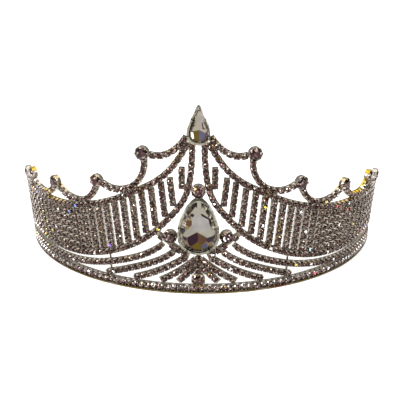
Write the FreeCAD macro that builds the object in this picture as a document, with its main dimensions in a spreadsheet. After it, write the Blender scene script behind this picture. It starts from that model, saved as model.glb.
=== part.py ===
import FreeCAD, Part
import math
import os
import Sketcher

# A rhinestone tiara: a flat strip bent to an open ring carries rows of small square
# cups with a round stone in each, soldered into a lattice that flares outwards.
# Every chain is drawn on a flat pattern (u along the band from the centre line,
# v up from the table) and wrapped on the flared ring.

DIMENSIONS = [
    ("ring_radius", 73.7, "middle of the chains, at the table"),
    ("ring_centre", 47.74, "ring axis behind the origin"),
    ("flare_angle", 4.0, "outward lean of the lattice, degrees"),
    ("end_angle", 78.6, "half opening of the band, degrees"),
    ("strip_height", 0.6, "base strip"),
    ("strip_outer", 75.0, "outer radius of the base strip"),
    ("strip_width", 2.5, "radial width of the base strip"),
    ("pitch", 2.5, "distance between stones in a chain"),
    ("cup_side", 2.45, "square cup"),
    ("cup_height", 1.1, "square cup"),
    ("cup_seat", -0.45, "underside of the cups from the middle of the chains"),
    ("stone_diameter", 2.2, "small round stone"),
    ("stone_girdle", 0.12, "straight edge of the small stone"),
    ("stone_height", 0.5, "small stone above its cup"),
    ("stone_table", 1.2, "flat top of the small stone"),
    ("wire_width", 2.1, "flat wire behind each chain"),
    ("wire_back", -1.15, "back face of the flat wire"),
    ("accent_diameter", 5.1, "cup of a large round stone"),
    ("accent_height", 2.0, "cup of a large round stone"),
    ("accent_seat", -1.15, "underside of the large cups"),
    ("accent_stone", 4.6, "large round stone"),
    ("accent_girdle", 0.25, "straight edge of the large stone"),
    ("accent_crown", 0.9, "large stone above its cup"),
    ("accent_table", 2.5, "flat top of the large stone"),
    ("strut_diameter", 0.8, "plain wire struts"),
    ("strut_lift", -1.55, "middle of the struts, behind the chains"),
    ("pear_wall", 0.8, "wall of both pear settings"),
    ("big_pear_base", 16.1, "bottom of the large pear setting"),
    ("big_pear_depth", 3.4, "large pear setting, front to back"),
    ("big_pear_seat", -1.7, "back of the large pear setting"),
    ("big_pear_crown", 1.5, "large pear stone above its setting"),
    ("top_pear_base", 56.9, "bottom of the upper pear setting"),
    ("top_pear_depth", 2.8, "upper pear setting, front to back"),
    ("top_pear_seat", -1.4, "back of the upper pear setting"),
    ("top_pear_crown", 1.2, "upper pear stone above its setting"),
    ("prong_diameter", 0.8, "prongs of the pear settings"),
    ("prong_reach", 0.9, "prongs over the edge of the stone"),
    ("claw_diameter", 1.4, "claw at the tip of the upper pear"),
    ("claw_reach", 0.9, "the claw over the edge of the stone"),
]

# Flat pattern of the right half, in mm: smooth curves run through these points.
# The left half is its mirror image.
BASE_ROW = 1.85
END_ROW = 99.5
UPPER_RAIL = [(3.3, 57.3), (5.2, 53.8), (9, 48), (15, 42.5), (21, 39), (31, 34), (41, 30.5),
              (53, 28), (68, 27), (98.5, 24.5)]
SWAG_RAIL = [(1.9, 58), (2.5, 46.5), (5, 36.5), (10, 29.5), (18, 21.5), (28, 15.5),
             (41, 11), (58, 9), (98.5, 8.5)]
MIDDLE_RAIL = [(12.5, 19), (18, 15), (28.5, 10.5), (41, 7), (59, 4.8), (98.5, 4.1)]
RAYS = [
    [(8.5, 16.5), (15, 12), (22, 9), (30, 6), (35.5, 4.1)],
    [(4, 14.5), (11, 10), (18, 6.5), (24, 4.1)],
    [(1, 13.5), (7, 8.5), (14, 4.1)],
    [(1, 10.5), (4.5, 7), (7.5, 4.1)],
]
CHEVRON_TOPS = [(0, 14), (0, 11.5), (0, 9)]
SCALLOPS = [
    [(4, 59.5), (7.5, 55), (12, 52.5), (16.3, 52.6)],
    [(18, 50.9), (19, 45), (22, 41), (28, 38.5), (34.4, 40.1)],
    [(37, 38.5), (39.5, 34.5), (44.5, 31.5), (50.5, 31.5), (56.5, 34.5)],
    [(59.5, 34), (63, 30.5), (69, 29), (74, 29.5), (77.5, 32)],
    [(80, 31.5), (84, 28), (90, 27), (97, 27.5)],
]
TIP_STONES = [(18.5, 53), (36.5, 40.5), (58.5, 35.5), (79, 33.5), (99.5, 28)]
SIDE_STONE = (9.8, 22.4)
MIDDLE_STONES = [(0, 40), (0, 5.5)]
LINK = [(14.5, 23), (9.5, 19), (6, 16.5), (3, 15)]
INNER_PICKETS = [[(5.5, 40.5), (5.5, 48.5)], [(8.5, 34), (9.5, 44.5)]]
PICKET_FIRST = 12
PICKET_LAST = 95.5
PICKET_COUNT = 25
PICKET_LEAN = 0.55
STRUT_ROW = 34.5

# Outlines of the pear settings: half width at each height above the bottom.
BIG_PEAR = [(0, 0), (4.5, 1.5), (6.9, 4.5), (7.4, 8), (6.9, 11.5), (5.4, 15.5),
            (3.1, 19), (0, 21)]
TOP_PEAR = [(0, 0), (3, 1), (4, 3.5), (3, 7.5), (1.5, 11), (0, 13.2)]

# Prongs, as fractions of the way round each outline from its bottom.
BIG_PRONGS = [0.08, 0.26, 0.42, 0.58, 0.74, 0.92]
TOP_PRONGS = [0.16, 0.35, 0.65, 0.84]
TOP_CLAW = [0.5]

os.makedirs("parts", exist_ok=True)
doc = FreeCAD.newDocument("Tiara")
sheet = doc.addObject("Spreadsheet::Sheet", "Dims")
for row, (alias, value, note) in enumerate(DIMENSIONS, start=1):
    sheet.set("A%d" % row, alias)
    sheet.set("B%d" % row, str(value))
    sheet.set("C%d" % row, note)
    sheet.setAlias("B%d" % row, alias)
doc.recompute()


def dim(alias):
    """Size from the sheet, as a plain number."""
    return float(sheet.get(alias))


def bind(target, path, formula):
    """Drive a property of an object from the sheet."""
    target.setExpression(path, formula)


# ---------------------------------------------------------------- wrapping

def on_ring(u, v, turn=0.0, lift=0.0):
    """Placement on the flared ring: z points outwards, x along the chain."""
    angle = u / dim("ring_radius")
    flare = math.radians(dim("flare_angle"))
    radius = dim("ring_radius") + v * math.tan(flare)
    across = FreeCAD.Vector(math.cos(angle), math.sin(angle), 0)
    up = FreeCAD.Vector(math.sin(flare) * math.sin(angle),
                        -math.sin(flare) * math.cos(angle), math.cos(flare))
    out = across.cross(up)
    spot = FreeCAD.Vector(radius * math.sin(angle),
                          dim("ring_centre") - radius * math.cos(angle), v)
    x_axis = across * math.cos(turn) + up * math.sin(turn)
    y_axis = up * math.cos(turn) - across * math.sin(turn)
    turned = FreeCAD.Rotation(x_axis, y_axis, out, "ZXY")
    return FreeCAD.Placement(spot + out * lift, turned)


def flat_curve(points):
    """Smooth curve through points of the flat pattern."""
    curve = Part.BSplineCurve()
    curve.interpolate([FreeCAD.Vector(u, v, 0) for u, v in points])
    return curve


def station(curve, spot):
    """Point of the flat pattern with the heading of the curve there."""
    heading = curve.tangent(curve.parameter(spot))[0]
    return spot.x, spot.y, math.atan2(heading.y, heading.x)


def knots(points, count):
    """Stations that cut a curve in equal lengths, its ends included."""
    curve = flat_curve(points)
    marks = curve.toShape().discretize(Number=count + 1)
    return [station(curve, mark) for mark in marks]


def cup_stations(points, fill=False):
    """Stations one pitch apart, centred on the curve, or spread to fill it."""
    curve = flat_curve(points)
    edge = curve.toShape()
    pitch = dim("pitch")
    count = max(1, int(edge.Length / pitch + (0.5 if fill else 0.3)))
    if fill:
        pitch = edge.Length / count
    first = (edge.Length - (count - 1) * pitch) / 2
    marks = [edge.valueAt(edge.getParameterByLength(first + k * pitch)) for k in range(count)]
    return [station(curve, mark) for mark in marks]


def length_of(points):
    return flat_curve(points).toShape().Length


def mirrored(points):
    return [(-u, v) for u, v in points]


def flat_wire(points):
    """Flat wire that follows a chain behind its cups."""
    half = dim("wire_width") / 2
    steps = max(2, round(length_of(points) / (2 * dim("pitch"))))
    frames = [on_ring(*mark) for mark in knots(points, steps)]
    corners = [(-half, dim("wire_back")), (half, dim("wire_back")),
               (half, dim("cup_seat")), (-half, dim("cup_seat"))]
    edges = []
    for across, lift in corners:
        line = Part.BSplineCurve()
        line.interpolate([frame.multVec(FreeCAD.Vector(0, across, lift))
                          for frame in frames])
        edges.append(line.toShape())
    faces = [Part.makeRuledSurface(edges[k], edges[(k + 1) % 4]) for k in range(4)]
    for frame in (frames[0], frames[-1]):
        loop = [frame.multVec(FreeCAD.Vector(0, across, lift))
                for across, lift in corners]
        faces.append(Part.Face(Part.makePolygon(loop + loop[:1])))
    shell = Part.makeShell(faces)
    shell.sewShape()
    solid = Part.makeSolid(shell)
    if solid.Volume < 0:
        solid.reverse()
    return solid


# ---------------------------------------------------------------- objects

exported = []


def keep(thing, label):
    """Name an object and list it for export."""
    thing.Label = label
    exported.append(thing)
    return thing


def group(label, solids):
    """One node made of separate solids."""
    thing = doc.addObject("Part::Feature", label)
    thing.Shape = Part.makeCompound(solids)
    return keep(thing, label)


def new_body(name):
    return doc.addObject("PartDesign::Body", name)


def plane_sketch(body, name, role):
    """Sketch on one of the body's own origin planes."""
    sketch = body.newObject("Sketcher::SketchObject", name)
    planes = [item for item in body.Origin.OriginFeatures if item.Role == role]
    sketch.AttachmentSupport = (planes[0], [""])
    sketch.MapMode = "FlatFace"
    return sketch


def square_pad(name, side, height):
    """Square pad centred on the origin."""
    body = new_body(name)
    sketch = plane_sketch(body, name + "_sketch", "XY_Plane")
    size = dim(side) / 2
    spots = [(-size, -size), (size, -size), (size, size), (-size, size)]
    for k in range(4):
        start = FreeCAD.Vector(spots[k][0], spots[k][1], 0)
        stop = FreeCAD.Vector(spots[(k + 1) % 4][0], spots[(k + 1) % 4][1], 0)
        sketch.addGeometry(Part.LineSegment(start, stop), False)
    for k in range(4):
        sketch.addConstraint(Sketcher.Constraint("Coincident", k, 2, (k + 1) % 4, 1))
    for k, kind in enumerate(("Horizontal", "Vertical", "Horizontal", "Vertical")):
        sketch.addConstraint(Sketcher.Constraint(kind, k))
    sketch.addConstraint(Sketcher.Constraint("Symmetric", 0, 1, 1, 2, -1, 1))
    wide = sketch.addConstraint(Sketcher.Constraint("DistanceX", 0, 1, 0, 2, 2 * size))
    tall = sketch.addConstraint(Sketcher.Constraint("DistanceY", 1, 1, 1, 2, 2 * size))
    bind(sketch, "Constraints[%d]" % wide, "Dims." + side)
    bind(sketch, "Constraints[%d]" % tall, "Dims." + side)
    pad = body.newObject("PartDesign::Pad", name + "_pad")
    pad.Profile = sketch
    bind(pad, "Length", "Dims." + height)
    return body


def turned_stone(name, width, girdle, height, table):
    """Round stone: straight girdle, sloping crown and flat table."""
    body = new_body(name)
    sketch = plane_sketch(body, name + "_sketch", "XZ_Plane")
    wide = dim(width) / 2
    flat = dim(table) / 2
    spots = [(0, 0), (wide, 0), (wide, dim(girdle)), (flat, dim(height)), (0, dim(height))]
    count = len(spots)
    for k in range(count):
        start = FreeCAD.Vector(spots[k][0], spots[k][1], 0)
        stop = FreeCAD.Vector(spots[(k + 1) % count][0], spots[(k + 1) % count][1], 0)
        sketch.addGeometry(Part.LineSegment(start, stop), False)
    for k in range(count):
        sketch.addConstraint(Sketcher.Constraint("Coincident", k, 2, (k + 1) % count, 1))
    sketch.addConstraint(Sketcher.Constraint("Coincident", 0, 1, -1, 1))
    sketch.addConstraint(Sketcher.Constraint("Horizontal", 0))
    sketch.addConstraint(Sketcher.Constraint("Vertical", 1))
    sketch.addConstraint(Sketcher.Constraint("Horizontal", 3))
    sketch.addConstraint(Sketcher.Constraint("Vertical", 4))
    sizes = [
        (Sketcher.Constraint("DistanceX", 0, 1, 0, 2, wide), "Dims.%s / 2" % width),
        (Sketcher.Constraint("DistanceY", 1, 1, 1, 2, dim(girdle)), "Dims." + girdle),
        (Sketcher.Constraint("DistanceX", 3, 2, 3, 1, flat), "Dims.%s / 2" % table),
        (Sketcher.Constraint("DistanceY", 4, 2, 4, 1, dim(height)), "Dims." + height),
    ]
    for constraint, formula in sizes:
        index = sketch.addConstraint(constraint)
        bind(sketch, "Constraints[%d]" % index, formula)
    turn = body.newObject("PartDesign::Revolution", name + "_turn")
    turn.Profile = sketch
    turn.ReferenceAxis = (sketch, ["V_Axis"])
    turn.Angle = 360
    return body


def placed(source, marks, lift):
    """Copies of one solid at stations of the flat pattern."""
    copies = []
    for u, v, turn in marks:
        solid = source.copy()
        solid.Placement = on_ring(u, v, turn, lift)
        copies.append(solid)
    return copies


def both_sides(marks):
    """Stations of the right half with their mirror images."""
    return marks + [(-u, v, math.pi - turn) for u, v, turn in marks]


def pear_curve(outline, inset, height):
    """Closed pear outline, drawn in by the inset, at a height."""
    tall = max(v for u, v in outline)
    wide = max(u for u, v in outline)
    shrink_u = (wide - inset) / wide
    shrink_v = (tall - 2 * inset) / tall
    right = [(u * shrink_u, inset + v * shrink_v) for u, v in outline]
    left = [(-u, v) for u, v in reversed(right[1:-1])]
    curve = Part.BSplineCurve()
    curve.interpolate([FreeCAD.Vector(u, v, height) for u, v in right + left], True)
    return curve


def pear_wire(outline, inset, height):
    return Part.Wire(pear_curve(outline, inset, height).toShape())


def pear_block(outline, inset, low, high):
    """Straight prism of a pear outline."""
    face = Part.Face(pear_wire(outline, inset, low))
    return face.extrude(FreeCAD.Vector(0, 0, high - low))


def pear_setting(label, outline, depth, seat, base):
    """Open pear-shaped frame."""
    wall = dim("pear_wall")
    frame = pear_block(outline, 0.0, 0.0, dim(depth))
    hole = pear_block(outline, wall, -1.0, dim(depth) + 1.0)
    thing = doc.addObject("Part::Feature", label)
    thing.Shape = frame.cut(hole)
    thing.Placement = on_ring(0.0, dim(base), 0.0, dim(seat))
    return keep(thing, label)


def pear_stone(label, outline, depth, seat, base, crown):
    """Pear-cut stone: pavilion inside the frame, girdle on it, crown above."""
    wall = dim("pear_wall")
    top = dim(depth)
    wide = max(u for u, v in outline)
    inner = Part.makeLoft([pear_wire(outline, 0.55 * wide, 0.3),
                           pear_wire(outline, wall, top)], True)
    lip = pear_block(outline, 0.5 * wall, top, top + 0.3)
    upper = Part.makeLoft([pear_wire(outline, 0.5 * wall, top + 0.3),
                           pear_wire(outline, 0.42 * wide, top + dim(crown))], True)
    thing = doc.addObject("Part::Feature", label)
    thing.Shape = inner.fuse([lip, upper])
    thing.Placement = on_ring(0.0, dim(base), 0.0, dim(seat))
    return keep(thing, label)


def prongs(outline, fractions, depth, seat, base, kind="prong"):
    """Round wire prongs that climb the frame and bend over the stone."""
    curve = pear_curve(outline, 0.0, 0.0)
    radius = dim(kind + "_diameter") / 2
    bend = dim(kind + "_reach")
    up = FreeCAD.Vector(0, 0, 1)
    solids = []
    for fraction in fractions:
        spot = curve.value(fraction * curve.LastParameter)
        out = curve.tangent(fraction * curve.LastParameter)[0].cross(up)
        foot = spot + up * radius
        knee = spot + up * dim(depth)
        hub = knee - out * bend
        rise = Part.LineSegment(foot, knee).toShape()
        turn = Part.Arc(knee, hub + (out + up).normalize() * bend, hub + up * bend).toShape()
        ring = Part.Wire(Part.makeCircle(radius, foot, up))
        prong = Part.Wire([rise, turn]).makePipeShell([ring], True, True)
        prong.Placement = on_ring(0.0, dim(base), 0.0, dim(seat))
        solids += prong.Solids
    return solids


# ---------------------------------------------------------------- base strip

outer = doc.addObject("Part::Cylinder", "strip_disc")
bind(outer, "Radius", "Dims.strip_outer")
bind(outer, "Height", "Dims.strip_height")
bind(outer, "Angle", "2 * Dims.end_angle")
inner = doc.addObject("Part::Cylinder", "strip_hollow")
bind(inner, "Radius", "Dims.strip_outer - Dims.strip_width")
bind(inner, "Height", "Dims.strip_height")
strip = doc.addObject("Part::Cut", "strip_ring")
strip.Base = outer
strip.Tool = inner
strip.Placement = FreeCAD.Placement(
    FreeCAD.Vector(0, dim("ring_centre"), 0),
    FreeCAD.Rotation(FreeCAD.Vector(0, 0, 1), 270 - dim("end_angle")))
keep(strip, "base_strip")

# ---------------------------------------------------------------- pickets


def height_at(points, u):
    """Height of a rail at a distance along the band."""
    curve = flat_curve(points)
    line = Part.Line(FreeCAD.Vector(u, 0, 0), FreeCAD.Vector(u, 80, 0))
    spot = curve.intersect(line)[0]
    x, y, turn = station(curve, FreeCAD.Vector(spot.X, spot.Y, spot.Z))
    return y, abs(math.cos(turn))


pickets = [list(item) for item in INNER_PICKETS]
picket_step = (PICKET_LAST - PICKET_FIRST) / (PICKET_COUNT - 1)
for k in range(PICKET_COUNT):
    low_u = PICKET_FIRST + k * picket_step - PICKET_LEAN
    high_u = PICKET_FIRST + k * picket_step + PICKET_LEAN
    low_v, low_slope = height_at(SWAG_RAIL, low_u)
    high_v, high_slope = height_at(UPPER_RAIL, high_u)
    reach = dim("cup_side") / 2 + 0.05
    pickets.append([(low_u, low_v + reach / low_slope),
                    (high_u, high_v - reach / high_slope)])

# ---------------------------------------------------------------- chains

base_chain = [(0.0, BASE_ROW), (33.0, BASE_ROW), (66.0, BASE_ROW), (100.8, BASE_ROW)]
end_post = [(END_ROW, 5.5), (END_ROW, 27)]
chains = {
    "base": [base_chain],
    "swag_rail": [SWAG_RAIL],
    "upper_rail": [UPPER_RAIL],
    "middle_rail": [MIDDLE_RAIL],
    "scallop": SCALLOPS,
    "ray": RAYS,
    "link": [LINK],
    "picket": pickets,
    "end_post": [end_post],
}

cup = square_pad("cup", "cup_side", "cup_height")
stone = turned_stone("stone", "stone_diameter", "stone_girdle", "stone_height",
                     "stone_table")
accent_stone = turned_stone("round_stone", "accent_stone", "accent_girdle",
                            "accent_crown", "accent_table")
accent_cup = doc.addObject("Part::Cylinder", "round_cup")
bind(accent_cup, "Radius", "Dims.accent_diameter / 2")
bind(accent_cup, "Height", "Dims.accent_height")
doc.recompute()

# Large round stones first, so that no chain stone is set on top of one.
accents = both_sides([(u, v, 0.0) for u, v in TIP_STONES + [SIDE_STONE]])
accents += [(u, v, 0.0) for u, v in MIDDLE_STONES]
group("accent_cups", placed(accent_cup.Shape, accents, dim("accent_seat")))
top_of_accent = dim("accent_seat") + dim("accent_height")
group("accent_stones", placed(accent_stone.Shape, accents, top_of_accent))

taken = [(u, v, dim("accent_diameter") / 2) for u, v, turn in accents]
half_cup = dim("cup_side") / 2
cup_top = dim("cup_seat") + dim("cup_height")
total = 0
for name, runs in chains.items():
    marks = []
    for run in runs:
        for u, v, turn in cup_stations(run, name == "picket"):
            near = [1 for x, y, size in taken
                    if math.hypot(u - x, v - y) < 0.8 * (half_cup + size)]
            if not near:
                marks.append((u, v, turn))
                taken.append((u, v, half_cup))
    marks = both_sides(marks)
    if name == "ray":
        marks += [(u, v, 0.0) for u, v in CHEVRON_TOPS]
    total += len(marks)
    group(name + "_cups", placed(cup.Shape, marks, dim("cup_seat")))
    group(name + "_stones", placed(stone.Shape, marks, cup_top))
    right = [flat_wire(run) for run in runs]
    left = [flat_wire(mirrored(run)) for run in runs]
    group(name + "_wire_right", right)
    group(name + "_wire_left", left)

# ---------------------------------------------------------------- struts

strut = doc.addObject("Part::Cylinder", "strut")
bind(strut, "Radius", "Dims.strut_diameter / 2")
strut_low = dim("strip_height")
strut_high = height_at(SWAG_RAIL, STRUT_ROW)[0]
strut.Height = (strut_high - strut_low) / math.cos(math.radians(dim("flare_angle")))
doc.recompute()
upright = FreeCAD.Placement(FreeCAD.Vector(0, 0, 0),
                            FreeCAD.Rotation(FreeCAD.Vector(1, 0, 0), -90))
struts = []
for side in (-1, 1):
    solid = strut.Shape.copy()
    spot = on_ring(side * STRUT_ROW, strut_low, 0.0, dim("strut_lift"))
    solid.Placement = spot.multiply(upright)
    struts.append(solid)
group("struts", struts)

# ---------------------------------------------------------------- pears

pear_setting("big_pear_setting", BIG_PEAR, "big_pear_depth", "big_pear_seat",
             "big_pear_base")
pear_stone("big_pear_stone", BIG_PEAR, "big_pear_depth", "big_pear_seat",
           "big_pear_base", "big_pear_crown")
pear_setting("top_pear_setting", TOP_PEAR, "top_pear_depth", "top_pear_seat",
             "top_pear_base")
pear_stone("top_pear_stone", TOP_PEAR, "top_pear_depth", "top_pear_seat",
           "top_pear_base", "top_pear_crown")

group("pear_prongs",
      prongs(BIG_PEAR, BIG_PRONGS, "big_pear_depth", "big_pear_seat", "big_pear_base")
      + prongs(TOP_PEAR, TOP_PRONGS, "top_pear_depth", "top_pear_seat", "top_pear_base")
      + prongs(TOP_PEAR, TOP_CLAW, "top_pear_depth", "top_pear_seat", "top_pear_base",
               "claw"))

# ---------------------------------------------------------------- checks, export

doc.recompute()
lows = []
highs = []
for thing in doc.Objects:
    assert "Invalid" not in thing.State and "Error" not in thing.State, thing.Name
for thing in exported:
    shape = thing.Shape
    assert not shape.isNull() and shape.isValid(), thing.Label
    assert all(solid.Volume > 0 for solid in shape.Solids), thing.Label
    shape.exportStep("parts/%s.step" % thing.Label)
    box = shape.BoundBox
    lows.append((box.XMin, box.YMin, box.ZMin))
    highs.append((box.XMax, box.YMax, box.ZMax))
low = [min(item[k] for item in lows) for k in range(3)]
high = [max(item[k] for item in highs) for k in range(3)]
print("chain stones", total, "nodes", len(exported))
print("x %.2f to %.2f, y %.2f to %.2f, z %.2f to %.2f"
      % (low[0], high[0], low[1], high[1], low[2], high[2]))
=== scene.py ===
# %% [markdown]
# # A rhinestone tiara
# A tiara like this is soldered by hand from cup chain: small square cups with a round foiled
# crystal in each. The chains stand on a bright metal strip, and large round and pear-cut
# crystals sit where they meet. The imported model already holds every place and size, so this
# notebook reads the seats of the cups from it and puts finely made cups and stones there.

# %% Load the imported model
import math
import random
import bmesh
import bpy
import numpy as np
from mathutils import Matrix, Vector, geometry


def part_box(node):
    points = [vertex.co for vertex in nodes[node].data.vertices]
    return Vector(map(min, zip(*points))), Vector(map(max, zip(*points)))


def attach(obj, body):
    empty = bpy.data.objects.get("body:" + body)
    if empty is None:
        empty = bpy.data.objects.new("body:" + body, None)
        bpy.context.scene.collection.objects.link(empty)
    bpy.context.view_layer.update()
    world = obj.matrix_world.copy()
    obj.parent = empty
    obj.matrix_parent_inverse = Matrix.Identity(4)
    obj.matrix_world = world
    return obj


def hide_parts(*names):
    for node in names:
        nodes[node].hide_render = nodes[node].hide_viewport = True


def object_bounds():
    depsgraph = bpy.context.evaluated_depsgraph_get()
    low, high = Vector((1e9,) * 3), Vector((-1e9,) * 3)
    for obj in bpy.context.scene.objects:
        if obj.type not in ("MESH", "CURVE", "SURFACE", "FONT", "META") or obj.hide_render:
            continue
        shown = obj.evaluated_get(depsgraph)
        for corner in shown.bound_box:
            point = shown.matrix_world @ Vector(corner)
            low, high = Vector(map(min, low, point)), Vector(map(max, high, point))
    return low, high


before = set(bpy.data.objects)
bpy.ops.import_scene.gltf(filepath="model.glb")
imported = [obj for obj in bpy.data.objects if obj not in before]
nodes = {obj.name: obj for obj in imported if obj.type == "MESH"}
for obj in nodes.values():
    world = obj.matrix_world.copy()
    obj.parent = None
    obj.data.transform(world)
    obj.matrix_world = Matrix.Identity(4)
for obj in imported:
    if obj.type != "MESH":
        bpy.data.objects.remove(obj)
cad_low, cad_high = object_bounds()
MM = 0.001
MERGE_DISTANCE = 0.001 * MM
print("model", [round(side / MM, 1) for side in cad_high - cad_low], "mm,", len(nodes), "nodes")

# %% [markdown]
# ## Where the ring is
# Every piece is set on a ring. Its axis and radius come from the base strip: the front of the
# strip and one of its outer ends lie on the same circle, which two chord lengths fix.

# %% Measure the ring


def corners_of(node):
    """All corner points of a node's mesh, as rows of numbers."""
    mesh = nodes[node].data
    points = np.empty(3 * len(mesh.vertices))
    mesh.vertices.foreach_get("co", points)
    return points.reshape(-1, 3)


strip_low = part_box("base_strip")[0]
strip_points = corners_of("base_strip")
strip_end = strip_points[np.argmax(strip_points[:, 0])]
sagitta = strip_end[1] - strip_low.y
ring_radius = (strip_end[0] ** 2 + sagitta ** 2) / (2 * sagitta)
ring_y = strip_low.y + ring_radius
end_angle = math.asin(strip_end[0] / ring_radius)
print("ring radius %.1f mm, opening half angle %.1f degrees"
      % (ring_radius / MM, math.degrees(end_angle)))

# %% [markdown]
# ## Seats
# Each solid of a cup node is one cup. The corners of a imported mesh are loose, so a copy of it
# is merged first, and a walk along its edges then finds one solid after another. The thin
# direction of a solid is the one that faces outwards, and the corner farthest from that axis
# gives the direction of the sides.

# %% Part a node into its solids


def merged_copy(node):
    """A node's mesh with its doubled corners joined, to work on."""
    shell = bmesh.new()
    shell.from_mesh(nodes[node].data)
    bmesh.ops.remove_doubles(shell, verts=shell.verts, dist=MERGE_DISTANCE)
    return shell


def parted(shell):
    """The corners of every separate solid in a mesh."""
    found = []
    for first in shell.verts:
        if first.tag:
            continue
        first.tag = True
        stack = [first]
        island = []
        while stack:
            vert = stack.pop()
            island.append(vert)
            for edge in vert.link_edges:
                other = edge.other_vert(vert)
                if not other.tag:
                    other.tag = True
                    stack.append(other)
        found.append(island)
    return found


def islands_of(node):
    """Corner points of every separate solid of a node, as rows of numbers."""
    shell = merged_copy(node)
    found = [np.array([tuple(vert.co) for vert in island]) for island in parted(shell)]
    shell.free()
    return found


print("accent cups:", len(islands_of("accent_cups")), "solids")

# %% Read the seats


def seat_of(points):
    """Centre, outward direction and side direction of one solid."""
    centre = points.mean(axis=0)
    out = np.linalg.svd(points - centre)[2][2]
    if out @ (centre - np.array([0, ring_y, centre[2]])) < 0:
        out = -out
    flat = (points - centre) - np.outer((points - centre) @ out, out)
    corner = flat[np.argmax((flat ** 2).sum(axis=1))]
    # The sides of a square lie an eighth of a turn from its corners.
    side = corner + np.cross(out, corner)
    return centre, out, side / np.linalg.norm(side)


def seats(node):
    """The seat of every solid of a node."""
    return [seat_of(points) for points in islands_of(node)]


def block_size(points):
    """Half side and depth of a cup's solid."""
    centre, out, side = seat_of(points)
    return abs((points - centre) @ side).max(), 2 * abs((points - centre) @ out).max()


CHAINS = ["base", "swag_rail", "upper_rail", "middle_rail", "scallop", "ray", "link",
          "picket", "end_post"]
chain_seats = {name: seats(name + "_cups") for name in CHAINS}
accent_seats = seats("accent_cups")
cup_half, cup_depth = block_size(islands_of("base_cups")[0])
round_half, round_depth = block_size(islands_of("accent_cups")[0])
print({name: len(found) for name, found in chain_seats.items()}, "rounds", len(accent_seats))
print("cup %.2f mm wide, round cup %.2f mm" % (2 * cup_half / MM, 2 * round_half / MM))

# %% [markdown]
# ## Plated metal
# The cups, wires and strip are brass under a thin bright plating. It is warm grey, a little
# yellow where it has rubbed, and covered in fine scuffs. On the strip the colours are a painted
# reflection instead: dark brown with red patches, for a brown table mirrored in it. All the
# metal parts share those effects, so they are built once as a node group and get their own
# colours in each material.
# A few small helpers come first, because every tree of nodes here uses them.

# %% Helpers for node trees


def add_sockets(tree, rows):
    """Named sockets of a node group: name, direction, kind, value."""
    for name, way, kind, value in rows:
        socket = tree.interface.new_socket(name, in_out=way, socket_type="NodeSocket" + kind)
        if value is not None:
            socket.default_value = value


def blend_colours(tree, factor, first, second, mode="MIX"):
    """Mix node between two colour sockets."""
    mix = tree.nodes.new("ShaderNodeMix")
    mix.data_type = "RGBA"
    mix.blend_type = mode
    for socket, value in ((mix.inputs[0], factor), (mix.inputs[6], first),
                          (mix.inputs[7], second)):
        if isinstance(value, (int, float, tuple)):
            socket.default_value = value
        else:
            tree.links.new(value, socket)
    return mix.outputs[2]


def attribute(tree, name):
    """Number that a face or a piece carries under this name."""
    node = tree.nodes.new("ShaderNodeAttribute")
    node.attribute_name = name
    return node.outputs["Fac"]


def maths(tree, operation, first, second):
    """Math node between two sockets or numbers."""
    node = tree.nodes.new("ShaderNodeMath")
    node.operation = operation
    for socket, value in zip(node.inputs, (first, second)):
        if isinstance(value, (int, float)):
            socket.default_value = value
        else:
            tree.links.new(value, socket)
    return node.outputs[0]


def noise_of(tree, place, scale, detail):
    """Soft noise over a place, at a scale that is a number or a socket."""
    noise = tree.nodes.new("ShaderNodeTexNoise")
    noise.inputs["Detail"].default_value = detail
    tree.links.new(place, noise.inputs["Vector"])
    if isinstance(scale, (int, float)):
        noise.inputs["Scale"].default_value = scale
    else:
        tree.links.new(scale, noise.inputs["Scale"])
    return noise.outputs[0]


def stretched(tree, value, low, high, to_low=0.0, to_high=1.0):
    """Map Range node that clamps."""
    span = tree.nodes.new("ShaderNodeMapRange")
    tree.links.new(value, span.inputs["Value"])
    for name, number in (("From Min", low), ("From Max", high),
                         ("To Min", to_low), ("To Max", to_high)):
        span.inputs[name].default_value = number
    return span.outputs[0]


def shades_of(tree, value, dark, light):
    """Grey that swings from dark to light with a noise, to multiply a colour by."""
    shade = tree.nodes.new("ShaderNodeCombineColor")
    for socket in shade.inputs:
        tree.links.new(stretched(tree, value, 0.3, 0.7, dark, light), socket)
    return shade.outputs[0]


print("node helpers ready")

# %% Shader group: plating
SCUFF_SCALE = 4000.0


def plating_group():
    """Rubbed patches, specks of grime and fine scuffs."""
    tree = bpy.data.node_groups.new("plating", "ShaderNodeTree")
    add_sockets(tree, [
        ("Bright", "INPUT", "Color", (0.6, 0.6, 0.6, 1)),
        ("Rubbed", "INPUT", "Color", (0.6, 0.5, 0.3, 1)),
        ("Grime", "INPUT", "Color", (0.1, 0.08, 0.07, 1)),
        ("Patch Scale", "INPUT", "Float", 120.0),
        ("Grime Scale", "INPUT", "Float", 900.0),
        ("Color", "OUTPUT", "Color", None),
        ("Roughness", "OUTPUT", "Float", None),
        ("Height", "OUTPUT", "Float", None)])
    given = tree.nodes.new("NodeGroupInput")
    made = tree.nodes.new("NodeGroupOutput")
    place = tree.nodes.new("ShaderNodeTexCoord").outputs["Object"]
    patches = stretched(tree, noise_of(tree, place, given.outputs["Patch Scale"], 3.0),
                        0.55, 0.70)
    specks = noise_of(tree, place, given.outputs["Grime Scale"], 2.0)
    dirt = stretched(tree, specks, 0.52, 0.72, 0.0, 0.85)
    toned = blend_colours(tree, patches, given.outputs["Bright"], given.outputs["Rubbed"])
    toned = blend_colours(tree, dirt, toned, given.outputs["Grime"])
    tree.links.new(toned, made.inputs["Color"])
    tree.links.new(stretched(tree, specks, 0.3, 0.7, 0.12, 0.42), made.inputs["Roughness"])
    tree.links.new(noise_of(tree, place, SCUFF_SCALE, 1.0), made.inputs["Height"])
    return tree


plating = plating_group()
print("plating group:", len(plating.nodes), "nodes")
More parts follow.
